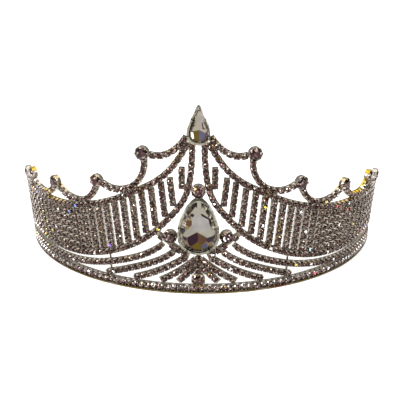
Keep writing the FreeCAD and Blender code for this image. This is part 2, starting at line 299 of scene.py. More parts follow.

# %% [markdown]
# ## Where the plating changes and where sheen is painted
# The upright walls of the cups catch more light than their mouths, so their faces carry an
# attribute named wall and get a paler colour, a painted sheen. The sides and the inner side
# of the band get the same pale colour, also a painted sheen. The inner side has worn to a
# golden tone in patches, and so have the top edges of the scallops towards the back. These
# places depend only on where a face is and which way it looks, so Object coordinates and the
# normal are enough.

# %% Directions for a material


def new_material(name):
    """A material, its nodes and its shader."""
    material = bpy.data.materials.new(name)
    material.use_nodes = True
    return material, material.node_tree, material.node_tree.nodes["Principled BSDF"]


def vector_maths(tree, operation, first, second=None):
    """Vector Math node, whose second input is a socket, plain numbers or nothing."""
    node = tree.nodes.new("ShaderNodeVectorMath")
    node.operation = operation
    tree.links.new(first, node.inputs[0])
    if isinstance(second, tuple):
        node.inputs[1].default_value = second
    elif second is not None:
        tree.links.new(second, node.inputs[1])
    return node.outputs["Value" if operation == "DOT_PRODUCT" else "Vector"]


def facing_out(tree):
    """How far a face looks away from the axis of the ring, from -1 to 1."""
    place = tree.nodes.new("ShaderNodeTexCoord")
    arm = vector_maths(tree, "SUBTRACT", place.outputs["Object"], (0, ring_y, 0))
    flat = vector_maths(tree, "MULTIPLY", arm, (1, 1, 0))
    unit = vector_maths(tree, "NORMALIZE", flat)
    return vector_maths(tree, "DOT_PRODUCT", unit, place.outputs["Normal"])


def split_of(tree, value, axis):
    """One coordinate, X, Y or Z, of a vector socket."""
    split = tree.nodes.new("ShaderNodeSeparateXYZ")
    tree.links.new(value, split.inputs[0])
    return split.outputs[axis]


def facing_up(tree):
    """How far a face looks up, from -1 to 1."""
    return split_of(tree, tree.nodes.new("ShaderNodeTexCoord").outputs["Normal"], "Z")


print("axis of the ring at y = %.1f mm" % (ring_y / MM))

# %% Worn places of the band
WALL_SHEEN_COLOUR = (0.44, 0.40, 0.35)
BACK_COLOUR = (0.50, 0.33, 0.03)
BEHIND_FROM, BEHIND_FULL = -12 * MM, 0.0
SCALLOPS_FROM, SCALLOPS_FULL = 27.5 * MM, 28.5 * MM
WEAR_SCALE = 60.0


def worn_places(tree, front, wall, back):
    """The front's colour outside, the paler wall colour on the sides as a painted sheen, and
    gold where it is worn.
    """
    place = tree.nodes.new("ShaderNodeTexCoord").outputs["Object"]
    cloud = noise_of(tree, place, WEAR_SCALE, 1.0)
    worn = stretched(tree, cloud, 0.42, 0.46)
    inner = blend_colours(tree, stretched(tree, cloud, 0.52, 0.62), (*wall, 1), (*back, 1))
    behind = stretched(tree, split_of(tree, place, "Y"), BEHIND_FROM, BEHIND_FULL)
    high = stretched(tree, split_of(tree, place, "Z"), SCALLOPS_FROM, SCALLOPS_FULL)
    upper = maths(tree, "MULTIPLY", stretched(tree, facing_up(tree), 0.4, 0.6),
                  maths(tree, "MULTIPLY", worn, maths(tree, "MULTIPLY", behind, high)))
    out = facing_out(tree)
    # Painted sheen: faces that look sideways take the paler wall colour, and inward faces take
    # it under their gold patches.
    colour = blend_colours(tree, stretched(tree, out, 0.2, 0.6), (*wall, 1), front)
    colour = blend_colours(tree, upper, colour, (*back, 1))
    return blend_colours(tree, stretched(tree, out, -0.6, -0.4), inner, colour)


print("worn from y = %.0f mm and z = %.1f mm" % (BEHIND_FROM / MM, SCALLOPS_FROM / MM))

# %% Material: plated metal
SCUFF_STRENGTH = 0.15
SCUFF_DEPTH = 0.02 * MM


def plated(name, bright, rubbed, grime, patch_scale=120.0, grime_scale=900.0,
           wall=WALL_SHEEN_COLOUR, back=None):
    """Plated metal with rubbed patches, grime, scuffs and a painted sheen on the walls; back
    gives it worn places too.
    """
    material, tree, shader = new_material(name)
    tone = tree.nodes.new("ShaderNodeGroup")
    tone.node_tree = plating
    tone.inputs["Bright"].default_value = (*bright, 1)
    tone.inputs["Rubbed"].default_value = (*rubbed, 1)
    tone.inputs["Grime"].default_value = (*grime, 1)
    tone.inputs["Patch Scale"].default_value = patch_scale
    tone.inputs["Grime Scale"].default_value = grime_scale
    bump = tree.nodes.new("ShaderNodeBump")
    bump.inputs["Strength"].default_value = SCUFF_STRENGTH
    bump.inputs["Distance"].default_value = SCUFF_DEPTH
    shader.inputs["Metallic"].default_value = 1.0
    # Painted sheen: the cup walls take the paler wall colour.
    colour = blend_colours(tree, attribute(tree, "wall"), tone.outputs["Color"],
                           (*wall, 1))
    if back:
        colour = worn_places(tree, colour, wall, back)
    tree.links.new(colour, shader.inputs["Base Color"])
    tree.links.new(tone.outputs["Roughness"], shader.inputs["Roughness"])
    tree.links.new(tone.outputs["Height"], bump.inputs["Height"])
    tree.links.new(bump.outputs["Normal"], shader.inputs["Normal"])
    return material


cup_metal = plated("cup plating", (0.34, 0.29, 0.24), (0.40, 0.28, 0.07), (0.03, 0.018, 0.015),
                   back=BACK_COLOUR)
wire_metal = plated("wire plating", (0.20, 0.165, 0.13), (0.16, 0.12, 0.08),
                    (0.05, 0.035, 0.03), patch_scale=150.0, grime_scale=500.0,
                    back=BACK_COLOUR)
# Painted light: the base row's metal is a paler copy of the cup plating.
base_row_lit_metal = plated("base row plating", (0.62, 0.58, 0.53), (0.50, 0.40, 0.22),
                    (0.05, 0.04, 0.04), wall=(0.60, 0.57, 0.53))
# Painted reflection: the strip's dark brown with red patches stands for a brown table mirrored
# in it.
strip_reflection_metal = plated("strip plating", (0.11, 0.075, 0.022), (0.11, 0.018, 0.018),
                     (0.24, 0.20, 0.17), patch_scale=45.0, grime_scale=160.0)
setting_metal = plated("setting plating", (0.215, 0.20, 0.16), (0.145, 0.12, 0.07),
                       (0.05, 0.04, 0.03), patch_scale=300.0, grime_scale=700.0)
print("five plated metals:", [metal.name for metal in bpy.data.materials
                              if metal.name.endswith("plating")])

# %% [markdown]
# ## Foiled crystal
# A rhinestone is a cut crystal with a mirror foil on its back. Its table looks into a dark
# brown and purple heart, the facets round it are partly pale, and a few stones flash in white,
# yellow or blue. These facet colours are painted reflections of a dark table and pale
# surroundings. Each facet carries a number of its own and so does each stone. Together they
# pick a colour from a ramp, and a clear coat gives the gloss of the crystal's face.

# %% Colours of the facets, which are painted reflections


def ramp(tree, value, stops):
    """Colour ramp with hard steps: position and colour of each."""
    node = tree.nodes.new("ShaderNodeValToRGB")
    node.color_ramp.interpolation = "CONSTANT"
    marks = node.color_ramp.elements
    marks[0].position, marks[0].color = stops[0][0], (*stops[0][1], 1)
    marks[1].position, marks[1].color = stops[1][0], (*stops[1][1], 1)
    for position, colour in stops[2:]:
        mark = marks.new(position)
        mark.color = (*colour, 1)
    tree.links.new(value, node.inputs["Fac"])
    return node.outputs["Color"]


HEART_REFLECTIONS = [
    (0.00, (0.030, 0.008, 0.008)),
    (0.22, (0.062, 0.022, 0.024)),
    (0.40, (0.008, 0.002, 0.002)),
    (0.56, (0.100, 0.048, 0.040)),
    (0.70, (0.030, 0.009, 0.014)),
    (0.80, (0.190, 0.125, 0.098)),
    (0.90, (0.080, 0.040, 0.010)),
    (0.95, (0.420, 0.350, 0.290)),
]
CROWN_REFLECTIONS = [
    (0.00, (0.055, 0.024, 0.021)),
    (0.20, (0.170, 0.115, 0.088)),
    (0.34, (0.012, 0.004, 0.004)),
    (0.55, (0.290, 0.220, 0.170)),
    (0.66, (0.038, 0.014, 0.016)),
    (0.84, (0.440, 0.365, 0.300)),
    (0.91, (0.110, 0.060, 0.012)),
    (0.95, (0.800, 0.750, 0.680)),
]
SPARK = [
    (0.00, (1.000, 1.000, 1.000)),
    (0.40, (0.850, 0.700, 0.100)),
    (0.58, (0.100, 0.300, 1.000)),
    (0.70, (0.500, 0.850, 1.000)),
    (0.78, (0.650, 0.050, 0.050)),
    (0.90, (0.300, 0.080, 0.900)),
    (0.95, (0.200, 0.650, 0.300)),
]
print(len(HEART_REFLECTIONS) + len(CROWN_REFLECTIONS) + len(SPARK), "facet colours")

# %% [markdown]
# ## Which facets flash
# The flashes are painted glints: flashing facets take a spark colour and glow. Stones that
# look sideways catch the lamps more often, so the share of flashing stones grows from the
# middle of the band to its sides. In a flashing stone only some facets light up, all in one of
# the spark colours.

# %% Shader group: facet fire
SPARK_FROM, SPARK_FULL = 15 * MM, 65 * MM
SPARK_SHARES = (0.03, 0.13)
SPARK_FACETS = 0.60
HUE_SPREAD = 97.0


def fire_group():
    """Painted reflection colour of every facet, and where a stone flashes with a painted glint.
    """
    tree = bpy.data.node_groups.new("facet fire", "ShaderNodeTree")
    add_sockets(tree, [
        ("Tint", "INPUT", "Color", (1, 1, 1, 1)),
        ("Grain Scale", "INPUT", "Float", 1500.0),
        ("Color", "OUTPUT", "Color", None),
        ("Flash", "OUTPUT", "Float", None),
        ("Roughness", "OUTPUT", "Float", None)])
    given = tree.nodes.new("NodeGroupInput")
    made = tree.nodes.new("NodeGroupOutput")
    place = tree.nodes.new("ShaderNodeTexCoord").outputs["Object"]
    tone = attribute(tree, "tone")
    pick = maths(tree, "FRACT", maths(tree, "ADD", tone, attribute(tree, "facet")), 0.0)
    hue = maths(tree, "FRACT", maths(tree, "MULTIPLY", tone, HUE_SPREAD), 0.0)
    share = stretched(tree, maths(tree, "ABSOLUTE", split_of(tree, place, "X"), 0.0),
                      SPARK_FROM, SPARK_FULL, *SPARK_SHARES)
    flashing = maths(tree, "MULTIPLY",
                     maths(tree, "GREATER_THAN", maths(tree, "ADD", tone, share), 1.0),
                     maths(tree, "GREATER_THAN", attribute(tree, "facet"), SPARK_FACETS))
    heart = blend_colours(tree, flashing, ramp(tree, pick, HEART_REFLECTIONS), ramp(tree, hue, SPARK))
    colour = blend_colours(tree, attribute(tree, "table"), ramp(tree, pick, CROWN_REFLECTIONS), heart)
    colour = blend_colours(tree, 1.0, colour, given.outputs["Tint"], "MULTIPLY")
    grain = noise_of(tree, place, given.outputs["Grain Scale"], 2.0)
    colour = blend_colours(tree, 1.0, colour, shades_of(tree, grain, 0.75, 1.25), "MULTIPLY")
    tree.links.new(colour, made.inputs["Color"])
    tree.links.new(maths(tree, "MULTIPLY", flashing, attribute(tree, "table")),
                   made.inputs["Flash"])
    tree.links.new(stretched(tree, grain, 0.3, 0.7, 0.03, 0.12), made.inputs["Roughness"])
    return tree


fire = fire_group()
print("facet fire group:", len(fire.nodes), "nodes")

# %% Material: foiled crystal
FOIL_METALLIC = 0.95
CRYSTAL_ROUGHNESS = 0.02
CRYSTAL_IOR = 1.56


def crystal_face(shader, gloss):
    """Mirror foil under a clear coat of crystal."""
    shader.inputs["Metallic"].default_value = FOIL_METALLIC
    shader.inputs["Coat Weight"].default_value = gloss
    shader.inputs["Coat Roughness"].default_value = CRYSTAL_ROUGHNESS
    shader.inputs["Coat IOR"].default_value = CRYSTAL_IOR


def foiled(name, tint, gloss):
    """Foil-backed crystal whose facets take their colours from the fire ramp."""
    material, tree, shader = new_material(name)
    tone = tree.nodes.new("ShaderNodeGroup")
    tone.node_tree = fire
    tone.inputs["Tint"].default_value = (*tint, 1)
    crystal_face(shader, gloss)
    tree.links.new(tone.outputs["Color"], shader.inputs["Base Color"])
    # Painted glints: flashing table facets glow in their spark colour.
    tree.links.new(tone.outputs["Color"], shader.inputs["Emission Color"])
    tree.links.new(tone.outputs["Flash"], shader.inputs["Emission Strength"])
    tree.links.new(tone.outputs["Roughness"], shader.inputs["Roughness"])
    return material


small_crystal = foiled("small foiled crystal", (0.72, 0.70, 0.72), 0.15)
# Painted light: the base row's stones are a lighter, bluer copy of the small crystal.
base_row_lit_crystal = foiled("base row crystal", (1.5, 1.7, 1.9), 0.3)
round_crystal = foiled("round foiled crystal", (0.66, 0.59, 0.66), 0.3)
print("three foiled crystals")

# %% [markdown]
# ## The shape of one cup
# A cup of this chain is stamped from sheet: a low square box with cut corners, open at the
# top, with a claw at each corner that is pressed over the stone. It is used hundreds of times,
# so it is built from a few dozen faces: loops of corners, one above the other, with a skin of
# side faces between them.

# %% Helpers for meshes made from given points


def loop_of(shell, points):
    """New corners at these points, to be joined by faces."""
    return [shell.verts.new(point) for point in points]


def skin(shell, lower, upper):
    """Side faces between two loops of the same length."""
    count = len(lower)
    for k in range(count):
        after = (k + 1) % count
        shell.faces.new((lower[k], lower[after], upper[after], upper[k]))


def piece_from(shell, name):
    """Object at the origin from a bmesh, with its faces turned outwards."""
    bmesh.ops.recalc_face_normals(shell, faces=shell.faces)
    mesh = bpy.data.meshes.new(name)
    shell.to_mesh(mesh)
    shell.free()
    return bpy.data.objects.new(name, mesh)


def ring_points(radius, count, z, turn=0.0):
    """Evenly spaced points on a level circle."""
    return [(radius * math.cos(turn + math.tau * k / count),
             radius * math.sin(turn + math.tau * k / count), z) for k in range(count)]


def cut_square(half, cut, z):
    """Square with cut corners, anticlockwise."""
    short = half - cut
    return [(half, -short, z), (half, short, z), (short, half, z), (-short, half, z),
            (-half, short, z), (-half, -short, z), (-short, -half, z), (short, -half, z)]


print("a cut square has", len(cut_square(1, 0.5, 0)), "corners")

# %% One claw


def add_claw(shell, angle, sections, size):
    """Claw bent over the stone: radius, height, width and half thickness, times a size."""
    along = Vector((math.cos(angle), math.sin(angle), 0))
    across = Vector((-math.sin(angle), math.cos(angle), 0))
    loops = []
    for k, (radius, height, width, thick) in enumerate(sections):
        lean = Vector((0, 0, 1)) if k > 1 else along
        middle = along * radius + Vector((0, 0, height))
        loops.append(loop_of(shell, [(middle + across * x * width / 2 + lean * y * thick) * size
                                     for x, y in ((-1, 1), (1, 1), (1, -1), (-1, -1))]))
    for lower, upper in zip(loops, loops[1:]):
        skin(shell, lower, upper)
    shell.faces.new(loops[0])
    shell.faces.new(loops[-1])


claw_sections = [(1.06, 0.10, 0.40, 0.08), (1.05, 0.58, 0.36, 0.08), (0.94, 0.80, 0.30, 0.07),
                 (0.80, 0.88, 0.20, 0.05)]
print("claw reaches in to %.2f of the cup" % claw_sections[-1][0])

# %% Build the cup
cup_low = -cup_depth / 2
cup_rim = 0.35 * cup_depth
cup_cut = 0.60 * cup_half
cup_mouth = 0.93 * cup_half
cup_wall = 0.12 * cup_half


def build_cup():
    """Square cup with four claws, its seat at the middle of its depth."""
    shell = bmesh.new()
    levels = [loop_of(shell, cut_square(cup_half, cup_cut, cup_low)),
              loop_of(shell, cut_square(cup_half, cup_cut, 0.0)),
              loop_of(shell, cut_square(cup_mouth, cup_cut, cup_rim)),
              loop_of(shell, cut_square(cup_mouth - cup_wall, cup_cut, cup_rim)),
              loop_of(shell, cut_square(cup_mouth - cup_wall, cup_cut, cup_rim / 2))]
    for lower, upper in zip(levels, levels[1:]):
        skin(shell, lower, upper)
    shell.faces.new(levels[0])
    shell.faces.new(levels[-1])
    for k in range(4):
        add_claw(shell, math.pi / 4 + k * math.pi / 2, claw_sections, cup_half)
    return piece_from(shell, "cup_shape")


cup_shape = build_cup()
print("cup:", len(cup_shape.data.polygons), "faces")

# %% Mark the walls of the cup
STEEPEST_WALL = 0.35
WALL_REACH = 0.8 * cup_mouth


def mark_faces(thing, name, values):
    """One number for every face, which a material can read."""
    marks = thing.data.attributes.new(name, "FLOAT", "FACE")
    marks.data.foreach_set("value", values)


def is_wall(face):
    """True for the upright outer sides of a cup."""
    return abs(face.normal.z) < STEEPEST_WALL and face.normal.dot(face.center) > WALL_REACH


walls = [float(is_wall(face)) for face in cup_shape.data.polygons]
mark_faces(cup_shape, "wall", walls)
print("walls:", int(sum(walls)), "faces")

# %% [markdown]
# ## The shape of one round cup
# The large stones sit in turned cups: a round wall that is a little wider at its foot, a
# rounded lip and eight small claws.

# %% Build the round cup
ROUND_SIDES = 32
ROUND_CLAWS = 8
round_profile = [(0.90, -0.50), (0.97, -0.44), (0.99, 0.20), (0.96, 0.46), (0.92, 0.50),
                 (0.89, 0.46), (0.88, 0.20)]
round_claw = [(0.985, 0.05, 0.24, 0.035), (0.975, 0.44, 0.22, 0.035),
              (0.91, 0.56, 0.18, 0.03), (0.80, 0.62, 0.12, 0.025)]


def build_round_cup():
    """Turned cup with claws, from the profile of its wall."""
    shell = bmesh.new()
    levels = [loop_of(shell, ring_points(radius * round_half, ROUND_SIDES, z * round_depth))
              for radius, z in round_profile]
    for lower, upper in zip(levels, levels[1:]):
        skin(shell, lower, upper)
    shell.faces.new(levels[0])
    shell.faces.new(levels[-1])
    for k in range(ROUND_CLAWS):
        add_claw(shell, (k + 0.5) * math.tau / ROUND_CLAWS, round_claw, round_half)
    return piece_from(shell, "round_cup_shape")


round_cup = build_round_cup()
print("round cup:", len(round_cup.data.polygons), "faces")

# %% [markdown]
# ## The shape of one stone
# The stones are round brilliants: a flat table, eight star facets, eight kites, sixteen small
# facets at the girdle and a point below. One function makes them at any size, and gives every
# facet a random number for its colour.

# %% Number the facets
FLAT_TABLE = 0.999


def mark_facets(thing, seed):
    """Random number on every face and a mark on the table, read by the crystal material."""
    draw = random.Random(seed)
    faces = thing.data.polygons
    mark_faces(thing, "facet", [draw.random() for face in faces])
    mark_faces(thing, "table", [float(face.normal.z > FLAT_TABLE) for face in faces])
    return thing


print("facets that face up to %.1f degrees off the axis count as table"
      % math.degrees(math.acos(FLAT_TABLE)))

# %% Build the round stones
KITE_RADIUS = 0.78
KITE_RISE = 0.62


def build_brilliant(name, sides, radius, table, low, girdle, high, seed, rings=()):
    """Round brilliant: heights from the middle of its cup, rings that divide the table."""
    shell = bmesh.new()
    step = math.tau / sides
    middle = girdle[1] + KITE_RISE * (high - girdle[1])
    top = loop_of(shell, ring_points(table, sides, high))
    kites = loop_of(shell, ring_points(KITE_RADIUS * radius, sides, middle, step / 2))
    upper = loop_of(shell, ring_points(radius, 2 * sides, girdle[1]))
    lower = loop_of(shell, ring_points(radius, 2 * sides, girdle[0]))
    tip = shell.verts.new((0, 0, low))
    inner = top
    for share in rings:
        ring = loop_of(shell, ring_points(share * table, sides, high))
        skin(shell, ring, inner)
        inner = ring
    centre = shell.verts.new((0, 0, high))
    for k in range(sides):
        after = (k + 1) % sides
        shell.faces.new((centre, inner[k], inner[after]))
        shell.faces.new((top[k], kites[k], top[after]))
        shell.faces.new((top[k], kites[k - 1], upper[2 * k], kites[k]))
        shell.faces.new((kites[k], upper[2 * k], upper[2 * k + 1]))
        shell.faces.new((kites[k], upper[2 * k + 1], upper[(2 * k + 2) % (2 * sides)]))
    skin(shell, lower, upper)
    for k in range(2 * sides):
        shell.faces.new((tip, lower[(k + 1) % (2 * sides)], lower[k]))
    return mark_facets(piece_from(shell, name), seed)


small_stone = build_brilliant("small_stone_shape", 8, 0.90 * cup_half, 0.52 * cup_half,
                              -0.2 * MM, (0.50 * MM, 0.60 * MM), 1.02 * MM, 3)
large_stone = build_brilliant("large_stone_shape", 10, 0.88 * round_half, 0.52 * round_half,
                              -0.3 * MM, (0.80 * MM, 1.00 * MM), 1.85 * MM, 4, (0.6,))
print("stones:", len(small_stone.data.polygons), "and", len(large_stone.data.polygons), "faces")

# %% [markdown]
# ## Setting shapes on their seats
# Hundreds of cups and stones follow the chains. Geometry Nodes put one shape on every seat,
# turn it to face outwards, tip it by a small random amount as hand-set stones are, and give
# each its own number. The same tree serves cups and stones.

# %% Which way a seat faces


def seat_rotation(new, link):
    """Rotation read from the two directions that every seat carries."""
    facing = {}
    for name in ("out", "side"):
        facing[name] = new("GeometryNodeInputNamedAttribute")
        facing[name].data_type = "FLOAT_VECTOR"
        facing[name].inputs["Name"].default_value = name
    axes = new("FunctionNodeAxesToRotation")
    axes.primary_axis = "Z"
    axes.secondary_axis = "X"
    link(facing["out"].outputs["Attribute"], axes.inputs["Primary Axis"])
    link(facing["side"].outputs["Attribute"], axes.inputs["Secondary Axis"])
    return axes.outputs[0]


def shaken(new, link, rotation, given):
    """A rotation tipped and spun at random, no further than the group's inputs say."""
    limits = new("ShaderNodeCombineXYZ")
    for name, axis in (("Tilt", "X"), ("Tilt", "Y"), ("Spin", "Z")):
        link(given.outputs[name], limits.inputs[axis])
    lowest = new("ShaderNodeVectorMath")
    lowest.operation = "SCALE"
    lowest.inputs["Scale"].default_value = -1.0
    link(limits.outputs[0], lowest.inputs[0])
    shake = new("FunctionNodeRandomValue")
    shake.data_type = "FLOAT_VECTOR"
    link(lowest.outputs[0], shake.inputs["Min"])
    link(limits.outputs[0], shake.inputs["Max"])
    link(given.outputs["Seed"], shake.inputs["Seed"])
    lean = new("FunctionNodeEulerToRotation")
    link(shake.outputs["Value"], lean.inputs[0])
    turn = new("FunctionNodeRotateRotation")
    turn.rotation_space = "LOCAL"
    link(rotation, turn.inputs[0])
    link(lean.outputs[0], turn.inputs[1])
    return turn.outputs[0]


print("shapes stand on +Z, with +X along the side of the seat")

# %% Geometry Nodes: set on seats


def seat_tree():
    """One shape on every seat, each with its own tone, realized and given its finish."""
    tree = bpy.data.node_groups.new("set on seats", "GeometryNodeTree")
    add_sockets(tree, [
        ("Seats", "INPUT", "Geometry", None),
        ("Shape", "INPUT", "Object", None),
        ("Tilt", "INPUT", "Float", 0.05),
        ("Spin", "INPUT", "Float", 0.0),
        ("Seed", "INPUT", "Int", 0),
        ("Finish", "INPUT", "Material", None),
        ("Geometry", "OUTPUT", "Geometry", None)])
    new = tree.nodes.new
    link = tree.links.new
    given = new("NodeGroupInput")
    made = new("NodeGroupOutput")
    shape = new("GeometryNodeObjectInfo")
    link(given.outputs["Shape"], shape.inputs["Object"])
    copies = new("GeometryNodeInstanceOnPoints")
    link(given.outputs["Seats"], copies.inputs["Points"])
    link(shape.outputs["Geometry"], copies.inputs["Instance"])
    link(shaken(new, link, seat_rotation(new, link), given), copies.inputs["Rotation"])
    tone = new("FunctionNodeRandomValue")
    link(given.outputs["Seed"], tone.inputs["Seed"])
    mark = new("GeometryNodeStoreNamedAttribute")
    mark.domain = "INSTANCE"
    mark.inputs["Name"].default_value = "tone"
    link(copies.outputs[0], mark.inputs["Geometry"])
    link(tone.outputs[1], mark.inputs["Value"])
    whole = new("GeometryNodeRealizeInstances")
    coat = new("GeometryNodeSetMaterial")
    link(mark.outputs[0], whole.inputs[0])
    link(whole.outputs[0], coat.inputs["Geometry"])
    link(given.outputs["Finish"], coat.inputs["Material"])
    link(coat.outputs[0], made.inputs["Geometry"])
    return tree


seat_nodes = seat_tree()
print("set on seats:", len(seat_nodes.nodes), "nodes")

# %% [markdown]
# ## From nodes to a plain mesh
# A modifier's input is found by the identifier of its socket. The evaluated object is turned
# into a plain mesh straight away and loses its modifier, so that it holds ordinary geometry.

# %% Grow a piece


def socket_id(tree, name):
    """Identifier of a tree's input, by its name."""
    return next(item.identifier for item in tree.interface.items_tree
                if item.in_out == "INPUT" and item.name == name)


def show(thing):
    """Puts an object in the scene."""
    bpy.context.scene.collection.objects.link(thing)
    return thing


def made_plain(thing):
    """Replaces an object's modifiers by the mesh they make."""
    bpy.context.view_layer.update()
    graph = bpy.context.evaluated_depsgraph_get()
    mesh = bpy.data.meshes.new_from_object(thing.evaluated_get(graph))
    thing.modifiers.clear()
    thing.data = mesh
    return thing


def grown(name, base, tree, settings):
    """Object whose mesh a Geometry Nodes tree makes from a base mesh."""
    thing = show(bpy.data.objects.new(name, base))
    modifier = thing.modifiers.new("grow", "NODES")
    modifier.node_group = tree
    for key, value in settings.items():
        modifier[socket_id(tree, key)] = value
    return made_plain(thing)


print("seed input:", socket_id(seat_nodes, "Seed"))

# %% Set one shape on many seats


def seat_mesh(places):
    """Points with the directions they face, for Geometry Nodes."""
    mesh = bpy.data.meshes.new("seats")
    mesh.from_pydata([tuple(place[0]) for place in places], [], [])
    for index, name in ((1, "out"), (2, "side")):
        marks = mesh.attributes.new(name, "FLOAT_VECTOR", "POINT")
        marks.data.foreach_set("vector", np.array([place[index] for place in places],
                                                  np.float32).ravel())
    return mesh


def set_pieces(name, places, shape, finish, seed, tilt, spin):
    """One shape on every seat, tipped and spun at random."""
    return grown(name, seat_mesh(places), seat_nodes,
                 {"Shape": shape, "Tilt": tilt, "Spin": spin, "Seed": seed,
                  "Finish": finish})


def stands_for(piece, slot, *replaced):
    """Rides on the rigid body and hides the plain solids it replaces."""
    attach(piece, "root")
    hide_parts(*replaced)


print("seats to fill:", sum(map(len, chain_seats.values())) + len(accent_seats))

# %% [markdown]
# ## The chains
# Every chain gets its cups and its stones. The cups are soldered almost straight, while the
# round stones lie in them at any turn. The base row gets lighter copies of the metal and the
# stones than the rest, which is painted light. The flat backing wires keep their shape from
# the model and only get their metal.

# %% Set the chains
CUP_SHAKE = 0.03
STONE_TILT = 0.06
STONE_SEEDS = 50

for seed, (name, places) in enumerate(chain_seats.items()):
    cups = set_pieces(name + "_cup_row", places, cup_shape,
                      base_row_lit_metal if name == "base" else cup_metal, seed, CUP_SHAKE, CUP_SHAKE)
    stands_for(cups, "cup_metal", name + "_cups")
    stones = set_pieces(name + "_stone_row", places, small_stone,
                        base_row_lit_crystal if name == "base" else small_crystal,
                        seed + STONE_SEEDS, STONE_TILT, math.pi)
    stands_for(stones, "small_crystal", name + "_stones")
    print(name, len(places), "cups,", len(stones.data.polygons), "stone facets")

# %% Finish the wires and the strip


def finish_node(node, material):
    """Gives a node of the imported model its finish."""
    mesh = nodes[node].data
    mesh.materials.clear()
    mesh.materials.append(material)


wires = [node for node in nodes if "_wire_" in node or node == "struts"]
for node in wires:
    finish_node(node, wire_metal)
finish_node("base_strip", strip_reflection_metal)
print(len(wires), "nodes of wire and one strip")

# %% [markdown]
# ## The large round stones
# The round cups and their stones use the same tree, with their own shapes. The stones are
# turned freely, so that no two show the same facets.

# %% Set the large round stones
ROUND_CUP_SEED, ROUND_STONE_SEED = 90, 757
ROUND_CUP_SPIN = 0.3
ROUND_STONE_TILT = 0.05

round_cups = set_pieces("accent_cup_row", accent_seats, round_cup, cup_metal, ROUND_CUP_SEED,
                        0.0, ROUND_CUP_SPIN)
stands_for(round_cups, "cup_metal", "accent_cups")
round_stones = set_pieces("accent_stone_row", accent_seats, large_stone, round_crystal,
                          ROUND_STONE_SEED, ROUND_STONE_TILT, math.pi)
stands_for(round_stones, "round_crystal", "accent_stones")
print(len(accent_seats), "round cups,", len(round_stones.data.polygons), "facets")

# %% [markdown]
# ## The two pear-cut crystals
# A pear-cut crystal has a broad flat table in the shape of a drop and a rim of small facets.
# Its table shows the back facets as patches of grey, purple, brown and gold with straight
# edges; these patches are painted reflections of the surroundings. The patches are drawn here
# like cut paper, a later one on top of an earlier one, in millimetres across and up from the
# bottom of the stone. The edge facets get painted reflection colours drawn at random.

# %% Painted reflection colours
PALE = (0.215, 0.188, 0.150)
PALE_WARM = (0.195, 0.182, 0.150)
PALE_COOL = (0.200, 0.187, 0.178)
PURPLE = (0.012, 0.002, 0.007)
BROWN = (0.056, 0.026, 0.013)
GOLD = (0.060, 0.041, 0.001)
BLUE = (0.054, 0.050, 0.082)
INK = (0.018, 0.012, 0.018)
OLIVE = (0.188, 0.171, 0.102)
WHITE_HIGHLIGHT = (0.92, 0.92, 0.86)
BACKING = (0.20, 0.18, 0.15)
EDGE_REFLECTIONS = [(0.13, 0.12, 0.075), (0.07, 0.06, 0.04), (0.20, 0.185, 0.15),
                (0.02, 0.015, 0.012), (0.13, 0.09, 0.045), (0.34, 0.32, 0.28),
                (0.05, 0.035, 0.04)]
print(len(EDGE_REFLECTIONS), "colours for the edge facets")

# %% Patches of the large and the top pear
BIG_PATCHES = [
    (PALE_WARM, [(-0.4, 20), (0.9, 20), (2.1, 18.3), (3.3, 15.4), (4.1, 14.2), (4.3, 10.8),
                 (5.6, 9.7), (5.8, 8.4), (3.1, 7.2), (-0.4, 9.4), (-3.8, 7.4), (-5.4, 8),
                 (-4.6, 9.6), (-3, 11), (-2.3, 12.2), (-2.5, 16.8)]),
    (PALE_COOL, [(-1.5, 15.4), (0.2, 16), (1.4, 15.4), (3.3, 14.2), (3.8, 12.2), (4.2, 10.5),
                 (1.4, 9.6), (-2, 10.5), (-2.3, 12.2)]),
    (BROWN, [(-4.4, 12.2), (-3.7, 13.9), (-2.2, 13.7), (-2.2, 12.2), (-3, 11.4)]),
    (PURPLE, [(-2.7, 15.8), (-2.2, 16.6), (-1.4, 16.1), (-1.5, 15.4), (-2.1, 15.1)]),
    (PURPLE, [(0.8, 16.2), (1.2, 16.5), (3.1, 15.3), (4.2, 14.4), (4.6, 13), (4.4, 11.2),
              (3.9, 12.6), (3.5, 14.3), (2.4, 14.9), (1.2, 15.6)]),
    (INK, [(-4.7, 11), (-4.6, 9.6), (-5.6, 8.4), (-6.3, 8.8), (-6, 10.2)]),
    (INK, [(-5.6, 7.8), (-4, 7.2), (-3.9, 6), (-4.8, 6.2)]),
    (PURPLE, [(-0.4, 9.4), (-3.8, 7.4), (-3.8, 5.6), (-3, 3.9), (-2.1, 4.1), (-0.3, 5.6),
              (0, 7)]),
    (BROWN, [(-0.4, 9.4), (3.1, 7.2), (2.9, 5.9), (1.2, 4.3), (-0.3, 5.6), (0, 7)]),
    (INK, [(3.1, 7.2), (5.8, 8.2), (5.5, 6.5), (3.6, 5.3), (2.9, 5.9)]),
    (BROWN, [(-3.2, 4.1), (-2.1, 4.1), (-1.5, 2.4), (-2.4, 2.4)]),
    (GOLD, [(-0.3, 5.6), (1.2, 4.3), (1.3, 3.2), (0.4, 2.4), (-1.5, 2.4), (-2.1, 4.1)]),
    (BLUE, [(1.2, 4.3), (2.9, 5.5), (3.2, 3.4), (2, 2.6), (1.3, 3.2)]),
]
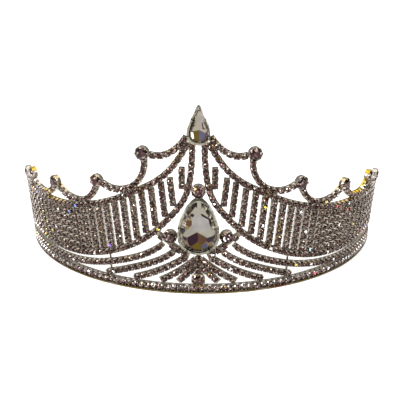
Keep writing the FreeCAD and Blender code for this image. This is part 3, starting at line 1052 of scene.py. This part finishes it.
TOP_PATCHES = [
    (PALE, [(-0.4, 11.8), (0.6, 11.8), (1.8, 8), (2.8, 5.4), (1.9, 4.5), (-0.1, 5.5),
            (-2.4, 5), (-1.6, 8)]),
    (PALE_COOL, [(0.2, 11.5), (0.6, 11.5), (1.5, 8.8), (1.2, 5.6), (0, 5.6)]),
    (OLIVE, [(-1.2, 9), (-0.8, 9), (-1.2, 6.6), (-1.8, 5.4)]),
    (GOLD, [(-1.9, 7.4), (-1.6, 7.4), (-1.5, 6.8), (-1.9, 6.6)]),
    (BROWN, [(0.7, 8), (1.1, 8), (1.4, 6.3), (2, 6), (1.8, 5.7), (1, 5.7)]),
    # A painted highlight.
    (WHITE_HIGHLIGHT, [(-2.9, 4.7), (-2.1, 4.6), (-1.8, 2.8), (-2.3, 2.3), (-2.8, 3.4)]),
    (GOLD, [(-2.1, 4.9), (-0.1, 5.5), (0, 3.4), (-0.4, 1), (-1.4, 1), (-1.8, 2.6)]),
    (BLUE, [(-0.1, 5.4), (1.9, 4.5), (1.6, 2.8), (0.2, 1.8), (-0.2, 3)]),
]
print(len(BIG_PATCHES), "and", len(TOP_PATCHES), "patches")

# %% [markdown]
# ## From patches to a cut stone
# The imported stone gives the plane, the outline and the depth. The outline is drawn inwards
# twice, to a ring and to the table, and small facets fill the space between. The table runs on
# into the tip of the drop, as it does on a real pear cut. A constrained triangulation cuts the
# facets and the patches into one mesh, and every face keeps the colour of the patch that lies
# on top there.

# %% The plane and the outline of a stone
CORE_SIDES = 56
ACROSS = np.array([1.0, 0.0, 0.0])


def plane_of(node):
    """Corners of a stone, the directions up and outwards in its plane, and its bottom."""
    points = corners_of(node)
    out = seat_of(points)[1]
    up = np.cross(out, ACROSS)
    up = up * np.sign(up[2])
    return points, up, out, (points @ up).min()


def outline_of(points, up, bottom):
    """Hull of a stone in its plane, as evenly spaced points (across, up)."""
    flat = [Vector((point @ ACROSS, point @ up - bottom)) for point in points]
    hull = [flat[k] for k in geometry.convex_hull_2d(flat)]
    closed = hull + hull[:1]
    lengths = [0.0]
    for first, second in zip(closed, closed[1:]):
        lengths.append(lengths[-1] + (second - first).length)
    spots = np.arange(CORE_SIDES) * lengths[-1] / CORE_SIDES
    return [Vector((np.interp(spot, lengths, [p.x for p in closed]),
                    np.interp(spot, lengths, [p.y for p in closed]))) for spot in spots]


for node in ("big_pear_stone", "top_pear_stone"):
    points, up, out, bottom = plane_of(node)
    print(node, "is %.1f mm tall in its plane" % (((points @ up).max() - bottom) / MM))

# %% Table, ring and the height of the crown
TABLE_SHARE = 0.72
TIP_RISE = (0.66, 0.80)
TIP_SHARE = 0.93


def drawn_in(outline, middle, share):
    """An outline made smaller about a middle point."""
    return [middle + (point - middle) * share for point in outline]


def half_step(loop):
    """The points half way between neighbours of a loop."""
    return [(a + b) / 2 for a, b in zip(loop, loop[1:] + loop[:1])]


def crown_height(point, outline, middle):
    """1 on the table, which runs on into the tip, falling to 0 at the edge of the stone."""
    rise = point.y / max(corner.y for corner in outline)
    share = float(np.interp(rise, TIP_RISE, (TABLE_SHARE, TIP_SHARE)))
    ray = point - middle
    if ray.length < MERGE_DISTANCE:
        return 1.0
    reach = max(ray.dot(edge - middle) / ray.length for edge in outline
                if abs(ray.angle_signed(edge - middle, 0.0)) < math.tau / CORE_SIDES)
    return min(1.0, max(0.0, (1.0 - ray.length / reach) / (1.0 - share)))


def crown_faces(outline, middle, draw):
    """Table and edge facets of a stone, each with a painted reflection colour drawn for it."""
    ring = half_step(drawn_in(outline, middle, (1 + TABLE_SHARE) / 2))
    table = drawn_in(outline, middle, TABLE_SHARE)
    faces = [(table, draw.choice(EDGE_REFLECTIONS))]
    for k in range(CORE_SIDES):
        after = (k + 1) % CORE_SIDES
        for corners in ((outline[k], outline[after], ring[k]),
                        (outline[after], ring[after], ring[k]),
                        (ring[k], table[after], table[k]),
                        (ring[k], ring[after], table[after])):
            faces.append((list(corners), draw.choice(EDGE_REFLECTIONS)))
    return faces


print(4 * CORE_SIDES, "edge facets on each pear")

# %% Cut the patches


def holds(corners, spot):
    """True when a spot lies inside a polygon."""
    crossings = [a for a, b in zip(corners, corners[1:] + corners[:1])
                 if (a.y > spot.y) != (b.y > spot.y)
                 and spot.x < a.x + (spot.y - a.y) / (b.y - a.y) * (b.x - a.x)]
    return len(crossings) % 2 == 1


def cut_faces(faces):
    """Corners, triangles and colours of overlapping outlines, seen from above."""
    spots, sides = [], []
    for corners, colour in faces:
        first, count = len(spots), len(corners)
        sides += [(first + k, first + (k + 1) % count) for k in range(count)]
        spots += corners
    cut = geometry.delaunay_2d_cdt(spots, sides, [], 0, MERGE_DISTANCE, True)
    colours = []
    for corners in cut[2]:
        spot = sum((cut[0][k] for k in corners), Vector((0, 0))) / len(corners)
        colours.append(next((colour for outline, colour in reversed(faces)
                             if holds(outline, spot)), INK))
    return cut[0], cut[2], colours


unit_square = [Vector(corner) for corner in ((0, 0), (1, 0), (1, 1), (0, 1))]
print("a square is cut into", len(cut_faces([(unit_square, INK)])[1]), "triangles")

# %% Build a pear-cut crystal
GIRDLE_SHARE = 0.55


def close_below(shell, foil, drop):
    """Wall and flat back under an open crown."""
    rim = [side for side in shell.edges if side.is_boundary]
    lower = bmesh.ops.extrude_edge_only(shell, edges=rim)["geom"]
    for vert in lower:
        if isinstance(vert, bmesh.types.BMVert):
            vert.co += drop
    base = [side for side in lower if isinstance(side, bmesh.types.BMEdge)]
    hidden = [face for face in lower if isinstance(face, bmesh.types.BMFace)]
    hidden += bmesh.ops.edgeloop_fill(shell, edges=base)["faces"]
    for face in hidden:
        face[foil] = (*BACKING, 1)


def build_pear(node, name, patches, seed):
    """Cut stone in the place of a node, with a painted reflection colour on every face."""
    points, up, out, bottom = plane_of(node)
    depths = points @ out
    low, high = depths.min(), depths.max()
    edge = low + GIRDLE_SHARE * (high - low)
    outline = outline_of(points, up, bottom)
    middle = sum(outline, Vector((0, 0))) / CORE_SIDES
    faces = crown_faces(outline, middle, random.Random(seed))
    faces += [([Vector(corner) * MM for corner in corners], colour)
              for colour, corners in patches]
    spots, triangles, colours = cut_faces(faces)
    shell = bmesh.new()
    # The foil attribute holds the painted reflection colour of every face.
    foil = shell.faces.layers.float_color.new("foil")
    verts = []
    for spot in spots:
        depth = edge + (high - edge) * crown_height(spot, outline, middle)
        verts.append(shell.verts.new(Vector(
            spot.x * ACROSS + (spot.y + bottom) * up + depth * out)))
    for corners, colour in zip(triangles, colours):
        face = shell.faces.new([verts[k] for k in corners])
        face[foil] = (*colour, 1)
    close_below(shell, foil, Vector(out) * (low - edge))
    thing = show(piece_from(shell, name))
    thing.data.materials.append(pear_crystal)
    stands_for(thing, "pear_crystal", node)
    print(name, len(thing.data.polygons), "facets")


# %% Material: pear-cut crystal
CLOUD_SCALE = 260.0
PEAR_GLOSS = 0.12


def pear_material():
    """The painted reflection colour of every face, a little uneven, under a clear coat."""
    material, tree, shader = new_material("pear-cut crystal")
    foil = tree.nodes.new("ShaderNodeAttribute")
    foil.attribute_name = "foil"
    place = tree.nodes.new("ShaderNodeTexCoord").outputs["Object"]
    cloud = noise_of(tree, place, CLOUD_SCALE, 2.0)
    colour = blend_colours(tree, 1.0, foil.outputs["Color"],
                           shades_of(tree, cloud, 0.85, 1.15), "MULTIPLY")
    tree.links.new(colour, shader.inputs["Base Color"])
    tree.links.new(stretched(tree, cloud, 0.3, 0.7, 0.06, 0.2), shader.inputs["Roughness"])
    crystal_face(shader, PEAR_GLOSS)
    return material


pear_crystal = pear_material()
build_pear("big_pear_stone", "big_pear_crystal", BIG_PATCHES, 5)
build_pear("top_pear_stone", "top_pear_crystal", TOP_PATCHES, 6)
for node in ("big_pear_setting", "top_pear_setting"):
    finish_node(node, setting_metal)

# %% [markdown]
# ## Prongs
# The pears are held by small prongs bent over the edge of their settings. In the model they
# are sturdy, so that they stay whole solids. Here each is drawn in about its own middle to the
# slim claw that a jeweller leaves.

# %% Slim prongs
PRONG_SHARE = 0.66


def build_prongs():
    """Every prong of the model drawn in about its own middle."""
    shell = merged_copy("pear_prongs")
    islands = parted(shell)
    for island in islands:
        middle = sum((vert.co for vert in island), Vector()) / len(island)
        for vert in island:
            vert.co = middle + (vert.co - middle) * PRONG_SHARE
    thing = show(piece_from(shell, "slim_prongs"))
    thing.data.materials.append(setting_metal)
    stands_for(thing, "setting_metal", "pear_prongs")
    print("prongs", len(islands))


build_prongs()

# %% [markdown]
# ## Studio
# The tiara stands on a plain pale table under soft light. A high window and two large lamps at
# the sides give even light, and two small bright lamps make the crystals flash.

# %% Table
TABLE_RADIUS = 3.0
TABLE_TOP = -0.2 * MM


def build_table():
    """Plain pale table, a hair under the strip."""
    shell = bmesh.new()
    loop_of(shell, ring_points(TABLE_RADIUS, 64, TABLE_TOP))
    shell.faces.new(shell.verts)
    table = show(piece_from(shell, "table"))
    material, _, shader = new_material("pale table")
    shader.inputs["Base Color"].default_value = (0.9, 0.9, 0.9, 1)
    shader.inputs["Roughness"].default_value = 0.9
    shader.inputs["Emission Color"].default_value = (1, 1, 1, 1)
    shader.inputs["Emission Strength"].default_value = 0.3
    table.data.materials.append(material)


build_table()
print("table %.0f m across" % (2 * TABLE_RADIUS))

# %% Lamps
WINDOW_POWER = 2.6
WINDOW_SPREAD = math.radians(80)
LAMPS = [
    # name, place, size, power
    ("left_lamp", (-0.7, -0.5, 0.5), 0.35, 9),
    ("right_lamp", (0.7, -0.5, 0.5), 0.35, 3),
    ("spark_left", (-0.25, -0.6, 0.35), 0.03, 0.6),
    ("spark_right", (0.3, -0.55, 0.3), 0.03, 0.6),
]
tiara_middle = (cad_low + cad_high) / 2


def area_lamp(name, place, size, power):
    """Round lamp that shines on the middle of the tiara."""
    lamp = bpy.data.lights.new(name, "AREA")
    lamp.shape = "DISK"
    lamp.size = size
    lamp.energy = power
    thing = show(bpy.data.objects.new(name, lamp))
    thing.location = place
    thing.rotation_euler = (tiara_middle - Vector(place)).to_track_quat("-Z", "Y").to_euler()


window = bpy.data.lights.new("high_window", "SUN")
window.energy = WINDOW_POWER
window.angle = WINDOW_SPREAD
show(bpy.data.objects.new("high_window", window))
for lamp in LAMPS:
    area_lamp(*lamp)
print("one high window and", len(LAMPS), "lamps")

# %% [markdown]
# ## What surrounds the tiara
# The camera sees plain white behind the table, while the metal and the crystals mirror a
# softer warm grey. A Light Path node tells the two apart.

# %% World
SEEN_COLOUR, SEEN_STRENGTH = (1, 1, 1, 1), 1.0
MIRRORED_COLOUR, MIRRORED_STRENGTH = (0.55, 0.53, 0.50, 1), 0.6


def build_world():
    """White for the camera, warm grey for all that is mirrored."""
    world = bpy.data.worlds.new("studio")
    bpy.context.scene.world = world
    world.use_nodes = True
    tree = world.node_tree
    seen = tree.nodes["Background"]
    seen.inputs["Color"].default_value = SEEN_COLOUR
    seen.inputs["Strength"].default_value = SEEN_STRENGTH
    around = tree.nodes.new("ShaderNodeBackground")
    around.inputs["Color"].default_value = MIRRORED_COLOUR
    around.inputs["Strength"].default_value = MIRRORED_STRENGTH
    path = tree.nodes.new("ShaderNodeLightPath")
    mix = tree.nodes.new("ShaderNodeMixShader")
    tree.links.new(path.outputs["Is Camera Ray"], mix.inputs[0])
    tree.links.new(around.outputs[0], mix.inputs[1])
    tree.links.new(seen.outputs[0], mix.inputs[2])
    tree.links.new(mix.outputs[0], tree.nodes["World Output"].inputs["Surface"])


build_world()
bpy.context.scene.view_settings.view_transform = "Standard"
print("world and view transform ready")

# %% [markdown]
# ## Camera
# The camera looks down at the front of the ring from about 20 degrees above the table. It
# stands a quarter of a metre away and is turned and rolled by less than one degree, as a
# camera held in the hand is.

# %% Place the camera
CAMERA_DISTANCE = 0.25
CAMERA_RISE = math.radians(19.57)
CAMERA_TURN = math.radians(0.83)
CAMERA_ROLL = math.radians(0.25)
CAMERA_AIM_HEIGHT = 0.0362
CAMERA_LENS = 64.8
CAMERA_SHIFT = -0.004
CAMERA_CLIP = (0.01, 20)


def build_camera():
    """Camera at its distance from the front of the strip, turned about the ring's axis."""
    turn = Matrix.Rotation(CAMERA_TURN, 3, "Z")
    axis = Vector((0, ring_y, 0))
    aim = turn @ (Vector((0, strip_low.y, CAMERA_AIM_HEIGHT)) - axis) + axis
    ahead = turn @ Vector((0, math.cos(CAMERA_RISE), -math.sin(CAMERA_RISE)))
    camera = show(bpy.data.objects.new("camera", bpy.data.cameras.new("camera")))
    camera.location = aim - ahead * CAMERA_DISTANCE
    camera.rotation_mode = "QUATERNION"
    roll = Matrix.Rotation(CAMERA_ROLL, 3, "Z").to_quaternion()
    camera.rotation_quaternion = ahead.to_track_quat("-Z", "Y") @ roll
    camera.data.lens = CAMERA_LENS
    camera.data.shift_x = CAMERA_SHIFT
    camera.data.clip_start, camera.data.clip_end = CAMERA_CLIP
    bpy.context.scene.camera = camera
    print("camera at", [round(value, 4) for value in camera.location])


build_camera()
